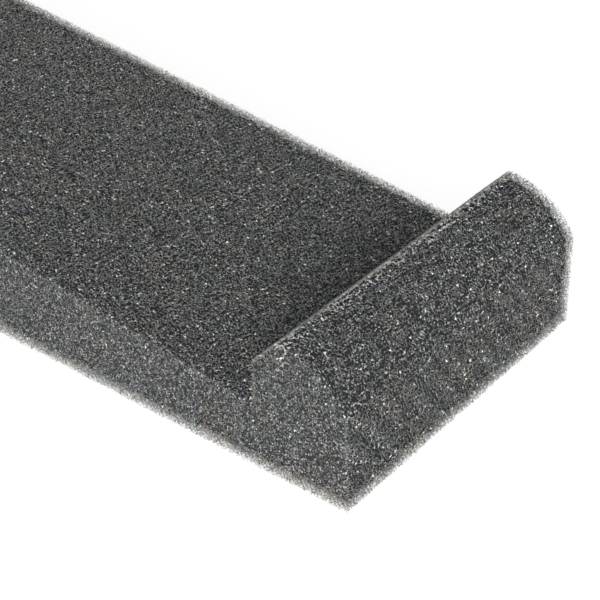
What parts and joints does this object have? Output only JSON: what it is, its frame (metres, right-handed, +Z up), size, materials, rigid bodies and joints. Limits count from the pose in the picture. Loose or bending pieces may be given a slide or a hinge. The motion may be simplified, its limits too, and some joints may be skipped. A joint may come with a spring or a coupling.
{
  "type": "speaker isolation pad",
  "caption": "Long wedge of open-cell foam with a raised stop lip across its low end, laid under a studio monitor to isolate and tilt it.",
  "frame": {"origin": "centre of the underside", "axes": "+Z up, +Y from the lip towards the thick back end along the pad's length, +X across its width"},
  "size_m": [0.1, 0.3, 0.0499],
  "materials": {
    "charcoal_foam": "open-cell polyurethane foam, cut faces, cells about 1 mm, charcoal grey, dead matt"
  },
  "bodies": {
    "root": {"foam_pad": "charcoal_foam"}
  },
  "joints": []
}
